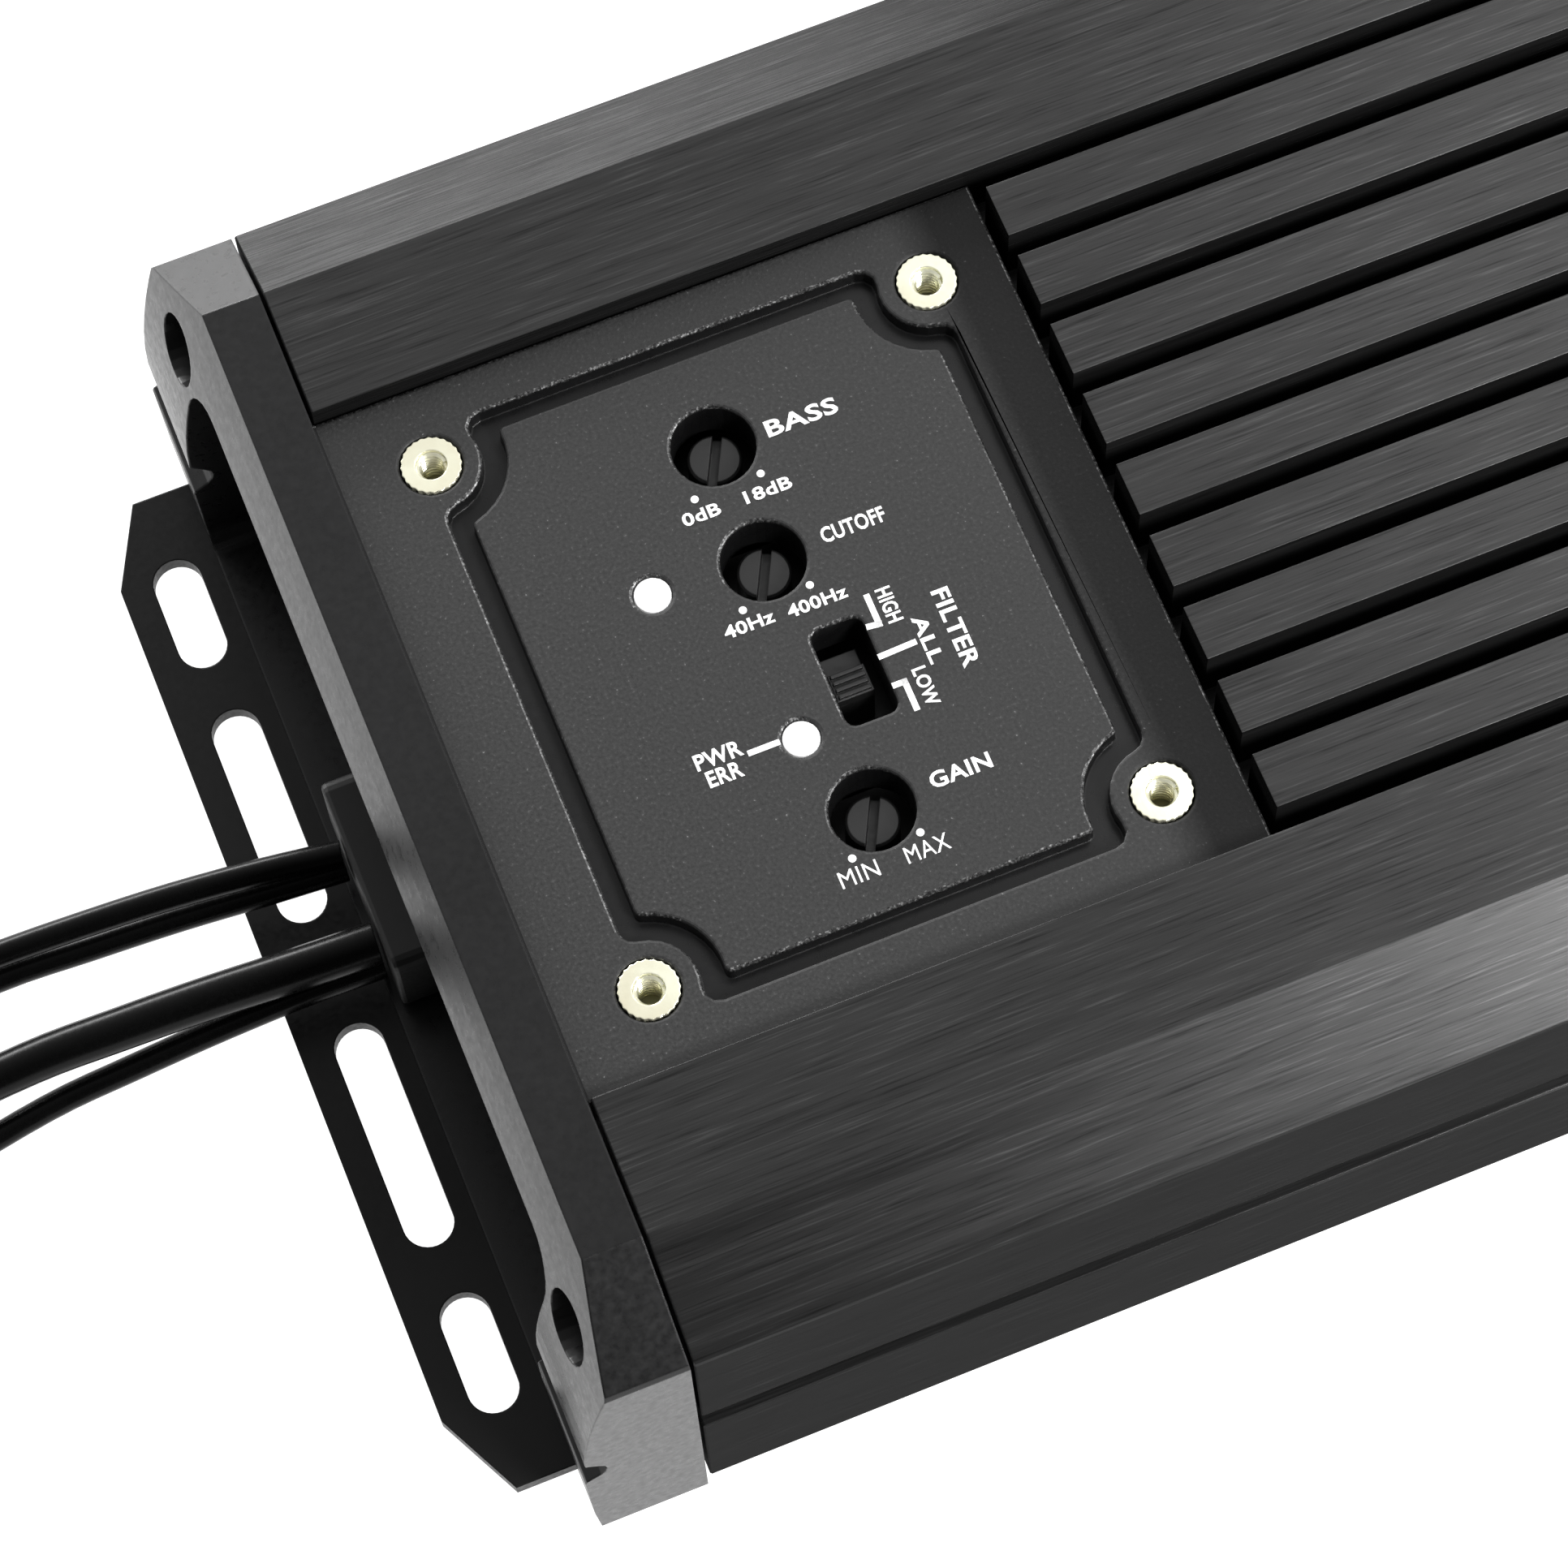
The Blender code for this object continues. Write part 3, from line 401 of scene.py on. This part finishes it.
def ease(value):
    value = min(1, max(0, value))
    return value * value * (3 - 2 * value)


def coil_points(diameter, middle, turn_radius, side, turns):
    """Whole turns and a quarter from the lane, stacked two side by side and the rest on top of them."""
    layers = ((0.5, 0.5), (-0.5, 0.5), (-0.5, 1.5), (0.5, 1.5))
    steps = round((turns + 0.25) * COIL_STEPS)
    points = []
    for i in range(1, steps + 1):
        t = i / COIL_STEPS
        out, up = layers[0]
        for k in range(1, turns):
            share = ease((t - 0.85 * k) / 0.15)
            out += (layers[k][0] - layers[k - 1][0]) * share
            up += (layers[k][1] - layers[k - 1][1]) * share
        if turns < 3:
            lift = ease((t - turns + 0.35) / 0.2)
            up += lift * (layers[turns][1] - layers[turns - 1][1])
        angle = -math.pi / 2 - math.tau * t
        reach = turn_radius + out * diameter
        x = middle[0] + reach * math.cos(angle)
        y = middle[1] + side * reach * math.sin(angle)
        points.append((x, y, up * diameter + LEAD_LIFT))
    return points


def smooth(points):
    """A smooth curve through the points, as points."""
    points = [Vector(p) for p in points]
    ends = [points[0] * 2 - points[1], *points, points[-1] * 2 - points[-2]]
    fine = []
    for a, b, c, d in zip(ends, ends[1:], ends[2:], ends[3:]):
        for i in range(SMOOTH_STEPS):
            t = i / SMOOTH_STEPS
            square = (2 * a - 5 * b + 4 * c - d) * t**2
            cube = (3 * b - a - 3 * c + d) * t**3
            fine.append(0.5 * (2 * b + (c - a) * t + square + cube))
    return [*fine, points[-1]]


def add_lead(name):
    diameter, way_down, (lane, coil_x, side), (turns, length, plug) = LEADS[name]
    radius = diameter / 2
    turn_radius = COIL_TURN * radius
    middle = (coil_x, lane + side * (turn_radius + radius))
    floor = radius + LEAD_LIFT
    route = smooth([*way_down, (LANE_FROM, lane, floor), (coil_x, lane, floor)])
    coil = [Vector(p) for p in coil_points(diameter, middle, turn_radius, side, turns)]
    low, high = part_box(plug)
    entry = (low.y if side > 0 else high.y) / MM
    height = (low.z + high.z) / 2 / MM
    last = coil[-1]
    x = middle[0] - turn_radius
    tail = [
        Vector((x + (last.x - x) * 0.35, last.y + (entry - last.y) * 0.4, last.z + (height - last.z) * 0.45)),
        Vector((x, entry - side * 2.0, height)),
        Vector((x, entry - side * 0.3, height)),
    ]
    points = route + coil + smooth([last, *tail])[1:]
    curve = bpy.data.curves.new(name + "_cord", "CURVE")
    curve.dimensions = "3D"
    curve.bevel_depth = radius * MM
    curve.bevel_resolution = 6
    curve.use_fill_caps = True
    spline = curve.splines.new("POLY")
    spline.points.add(len(points) - 1)
    for target, point in zip(spline.points, points):
        target.co = (*(point * MM), 1)
    curve.materials.append(LOOKS["black_jacket"])
    obj = bpy.data.objects.new(name + "_cord", curve)
    bpy.context.collection.objects.link(obj)
    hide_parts(name, name + "_coil")
    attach(obj, ROOT)
    detail_plug(name)


def add_tube(bm, middle, profile):
    """A surface turned about a line along Y. The profile gives (distance along Y, radius) pairs in mm."""
    rings = []
    for along, radius in profile:
        row = []
        for i in range(TUBE_SIDES):
            a = math.tau * i / TUBE_SIDES
            place = (middle[0] + radius * math.cos(a), middle[1] + along, middle[2] + radius * math.sin(a))
            row.append(bm.verts.new(Vector(place) * MM))
        rings.append(row)
    for one, two in zip(rings, rings[1:] + rings[:1]):
        for i in range(TUBE_SIDES):
            j = (i + 1) % TUBE_SIDES
            bm.faces.new((one[i], two[i], two[j], one[j]))


def add_block(bm, x, y, z):
    """A block between the two ends given along each axis, in mm."""
    made = bmesh.ops.create_cube(bm, size=1)["verts"]
    for vert in made:
        place = [low * (0.5 - c) + high * (0.5 + c) for c, (low, high) in zip(vert.co, (x, y, z))]
        vert.co = Vector(place) * MM


def detail_plug(name):
    """Three grip rings and a contact collar on a jack, or a ribbed boot, a latch and sockets on a plug."""
    diameter, _, (_, _, side), (_, _, plug) = LEADS[name]
    low, high = (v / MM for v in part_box(plug))
    middle = (low + high) / 2
    entry, end = (low.y, high.y) if side > 0 else (high.y, low.y)
    bm = bmesh.new()
    wire = diameter / 2 + 0.1
    if "jack" in plug:
        sleeve = (high.x - low.x) * 0.3
        ring = [(-0.4, sleeve - 0.1), (-0.3, sleeve + 0.6), (0.3, sleeve + 0.6), (0.4, sleeve - 0.1)]
        collar = [(-0.3, 2.2), (side * 1.2, 2.2), (side * 1.2, 3.4), (-0.3, 3.4)]
        for k in range(3):
            add_tube(bm, (middle.x, entry + side * (0.7 + 1.5 * k), middle.z), ring)
        add_tube(bm, (middle.x, end, middle.z), collar)
    else:
        for k in range(4):
            size = wire + 0.9 - 0.12 * k
            at = (middle.x, entry - side * (0.35 + 0.8 * k), middle.z)
            add_tube(bm, at, [(-0.25, wire), (-0.25, size), (0.25, size), (0.25, wire)])
        wide, tall = high.x - low.x, high.z - low.z
        step = sorted((middle.y, middle.y - side * (high.y - low.y) * 0.25))
        add_block(bm, (middle.x - wide * 0.16, middle.x + wide * 0.16), step, (high.z - 0.2, high.z + 0.9))
        for column in (-0.25, 0.25):
            for row in (-0.2, 0.2):
                x, z = middle.x + column * wide, middle.z + row * tall
                reach = sorted((end - side * 0.3, end + side * 0.8))
                for across in (-1, 1):
                    wall = sorted((x + across * wide * 0.15, x + across * wide * 0.19))
                    lid = sorted((z + across * tall * 0.12, z + across * tall * 0.16))
                    add_block(bm, wall, reach, (z - tall * 0.15, z + tall * 0.15))
                    add_block(bm, (x - wide * 0.19, x + wide * 0.19), reach, lid)
    bmesh.ops.recalc_face_normals(bm, faces=bm.faces)
    obj = add_mesh(plug + "_detail", bm, LOOKS["black_plastic"])
    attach(obj, ROOT)
    return obj.name


# ---------------------------------------------------------------- legends


# What it says, then its left and right ends and its foot and head in mm. The second set reads
# towards -Y, so its ends are along Y and its foot and head along X.
ALONG_X = (
    ("BASS", (-46.7, -40.6), (15.85, 17.35)),
    ("CUTOFF", (-46.1, -40.7), (5.55, 6.95)),
    ("GAIN", (-46.1, -41.0), (-17.1, -15.7)),
    ("0dB", (-55.8, -52.6), (11.1, 12.25)),
    ("18dB", (-50.5, -46.5), (11.1, 12.25)),
    ("40Hz", (-56.3, -52.1), (0.8, 1.95)),
    ("400Hz", (-51.0, -46.0), (0.6, 1.75)),
    ("MIN", (-55.7, -52.5), (-22.1, -20.7)),
    ("MAX", (-50.2, -46.6), (-22.1, -20.7)),
    ("PWR", (-62.5, -58.6), (-8.75, -7.35)),
    ("ERR", (-62.1, -59.2), (-10.4, -9.0)),
)
ALONG_Y = (
    ("HIGH", (0.3, -2.8), (-44.0, -42.7)),
    ("ALL", (-3.0, -7.3), (-42.25, -41.05)),
    ("LOW", (-7.1, -10.5), (-43.9, -42.7)),
    ("FILTER", (-1.5, -8.6), (-39.95, -38.5)),
)
DOTS = ((-54.2, 13.1), (-48.5, 13.2), (-54.2, 2.7), (-48.5, 2.7), (-54.1, -20.0), (-48.4, -20.0))
MARKS = (
    ((-44.7, 0.0), (-44.7, -2.5), (-45.5, -2.4)),
    ((-45.6, -5.1), (-42.8, -5.0)),
    ((-45.5, -7.8), (-44.7, -7.8), (-44.7, -10.2)),
    ((-58.1, -8.8), (-55.9, -8.8)),
)
DOT_RADIUS = 0.33  # mm
DOT_SIDES = 20
MARK_WIDTH = 0.5  # mm
INK = 0.02  # thickness of the print in mm
PRINT_LIFT = 0.005  # air under the print in mm
BOLDER = 0.026  # what is added round each stroke of lettering, at a font size of 1


def add_strip(bm, one, two, width):
    """A bar with square ends, drawn past its two points by half its width."""
    along = (Vector(two) - Vector(one)).normalized() * width / 2
    across = Vector((-along.y, along.x))
    start, end = Vector(one) - along, Vector(two) + along
    outline = (start - across, end - across, end + across, start + across)
    add_plate(bm, [(p.x, p.y) for p in outline])


def add_plate(bm, outline):
    """The outline in mm, extruded to the print's thickness on the panel's face."""
    foot = PANEL_TOP + PRINT_LIFT * MM
    low = [bm.verts.new((u * MM, v * MM, foot)) for u, v in outline]
    high = [bm.verts.new((u * MM, v * MM, foot + INK * MM)) for u, v in outline]
    bm.faces.new(low[::-1])
    bm.faces.new(high)
    for i in range(len(outline)):
        j = (i + 1) % len(outline)
        bm.faces.new((low[i], low[j], high[j], high[i]))


def add_words(bm, words, ends, heights, turned):
    """Lettering scaled to fill its place, on the panel's face."""
    curve = bpy.data.curves.new("words", "FONT")
    curve.body = words
    curve.size = 1
    # Thickened strokes fill an M
    curve.offset = 0 if "M" in words else BOLDER
    curve.extrude = 0.01
    curve.resolution_u = 3
    curve.space_character = 1.05
    text = bpy.data.objects.new("words", curve)
    bpy.context.collection.objects.link(text)
    bpy.context.view_layer.update()
    mesh = text.evaluated_get(bpy.context.evaluated_depsgraph_get()).to_mesh()
    points = [v.co.copy() for v in mesh.vertices]
    low = [min(p[i] for p in points) for i in range(3)]
    high = [max(p[i] for p in points) for i in range(3)]
    made = []
    for p in points:
        u = ends[0] + (ends[1] - ends[0]) * (p.x - low[0]) / (high[0] - low[0])
        v = heights[0] + (heights[1] - heights[0]) * (p.y - low[1]) / (high[1] - low[1])
        z = PANEL_TOP + (PRINT_LIFT + INK * (p.z - low[2]) / (high[2] - low[2])) * MM
        x, y = (v, u) if turned else (u, v)
        made.append(bm.verts.new((x * MM, y * MM, z)))
    for polygon in mesh.polygons:
        # A face that is there already raises ValueError
        try:
            bm.faces.new([made[i] for i in polygon.vertices])
        except ValueError:
            pass
    bpy.data.objects.remove(text)


def add_legends():
    bm = bmesh.new()
    spokes = [math.tau * i / DOT_SIDES for i in range(DOT_SIDES)]
    for words, ends, heights in ALONG_X:
        add_words(bm, words, ends, heights, False)
    for words, ends, heights in ALONG_Y:
        add_words(bm, words, ends, heights, True)
    for x, y in DOTS:
        add_plate(bm, [(x + DOT_RADIUS * math.cos(a), y + DOT_RADIUS * math.sin(a)) for a in spokes])
    for points in MARKS:
        for one, two in zip(points, points[1:]):
            add_strip(bm, one, two, MARK_WIDTH)
    bmesh.ops.remove_doubles(bm, verts=bm.verts, dist=0.5e-6)
    bmesh.ops.recalc_face_normals(bm, faces=bm.faces)
    obj = add_mesh("panel_legends", bm, GLOWING_LEGEND)
    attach(obj, ROOT)


# ---------------------------------------------------------------- carried-over CAD nodes


def dress_nodes():
    """Give each CAD node the material of its slot."""
    slots = {row["node"]: row["material_slot"] for row in frame["record"]["subparts"]}
    for node, slot_name in slots.items():
        obj = bpy.data.objects[node]
        for material_slot in obj.material_slots:
            material_slot.material = LOOKS[slot_name]


INSERT_X = -51.15 * MM  # the middle of the four inserts along X. Along Y it is 0
INSERT_OFF_X, INSERT_OFF_Y = 21.42 * MM, 24.0 * MM  # how far each insert is from that middle
INSERT_CLEAR = 3 * MM  # rims this near an insert get no painted highlight
BORE = 1.3  # the radius in mm that the threads start from

RIM_ROUND = 0.28 * MM
PANEL_FRONT = -80 * MM  # faces whose middle is past this X, towards the leads, keep the plain finish
LIT_SIDE = Vector((0.6, -0.8, 0))  # rims that face this way, towards the lamps, by at least LIT_LEAST get the painted highlight
LIT_LEAST = 0.12
FAR_RIMS = 30 * MM  # rims past this Y get the painted highlight too


def detail_cap():
    """The front cap again with rounded rims, and its panel and plateau in the textured finish. The rims that
    face the lamps get a painted highlight.
    """
    bm = bmesh.new()
    bm.from_mesh(bpy.data.objects["front_cap"].data)
    bmesh.ops.remove_doubles(bm, verts=bm.verts, dist=2e-6)
    bmesh.ops.dissolve_limit(bm, angle_limit=math.radians(1), verts=bm.verts, edges=bm.edges)
    bm.normal_update()
    rims = []
    for edge in bm.edges:
        if len(edge.link_faces) != 2:
            continue
        at_top = all(abs(v.co.z - PANEL_TOP) < 0.01 * MM for v in edge.verts)
        tops = [f for f in edge.link_faces if f.normal.z > 0.99]
        walls = [f for f in edge.link_faces if abs(f.normal.z) < 0.05]
        if at_top and tops and walls:
            rims.append(edge)
    bmesh.ops.bevel(
        bm, geom=rims, offset=RIM_ROUND, segments=3, profile=0.5, affect="EDGES", clamp_overlap=False
    )
    for face in bm.faces:
        middle = face.calc_center_median()
        on_panel = middle.z > PANEL_TOP - 0.3 * MM and face.normal.z > 0.2 and middle.x > PANEL_FRONT
        if on_panel and middle.z < PANEL_TOP + 0.01 * MM:
            # Rims that face the lamps, and those far along Y, get the painted highlight
            gets_painted_highlight = face.normal.dot(LIT_SIDE) > LIT_LEAST or middle.y > FAR_RIMS
            clear = abs(abs(middle.y) - INSERT_OFF_Y) > INSERT_CLEAR
            clear = clear or abs(abs(middle.x - INSERT_X) - INSERT_OFF_X) > INSERT_CLEAR
            face.material_index = 2 if face.normal.z < 0.98 and gets_painted_highlight and clear else 1
    cap = add_mesh("front_cap_detail", bm, LOOKS["black_casting"])
    cap.data.materials.append(TEXTURED)
    cap.data.materials.append(RIM_HIGHLIGHT)
    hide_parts("front_cap")
    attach(cap, ROOT)


def add_threads():
    """The thread in each brass insert: a ridge that winds down its bore."""
    steps, pitch, turns = 24, 0.5, 9
    ridge = ((BORE - 0.01, 0.2), (BORE - 0.34, 0), (BORE - 0.01, -0.2))
    bm = bmesh.new()
    for along in (-1, 1):
        for across in (-1, 1):
            x = INSERT_X + along * INSERT_OFF_X
            y = across * INSERT_OFF_Y
            rows = []
            for i in range(steps * turns + 1):
                angle = math.tau * i / steps
                z = PANEL_TOP - (0.45 + pitch * i / steps) * MM
                row = []
                for reach, up in ridge:
                    place = (x + reach * MM * math.cos(angle), y + reach * MM * math.sin(angle), z + up * MM)
                    row.append(bm.verts.new(place))
                rows.append(row)
            for one, two in zip(rows, rows[1:]):
                for k in range(3):
                    j = (k + 1) % 3
                    bm.faces.new((one[k], two[k], two[j], one[j]))
            bm.faces.new(rows[0])
            bm.faces.new(rows[-1][::-1])
    bmesh.ops.recalc_face_normals(bm, faces=bm.faces)
    obj = add_mesh("insert_threads", bm, LOOKS["nickelled_brass"])
    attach(obj, ROOT)


add_camera()
for lead_name in LEADS:
    add_lead(lead_name)
add_studio()
dress_nodes()
detail_cap()
add_legends()
add_threads()
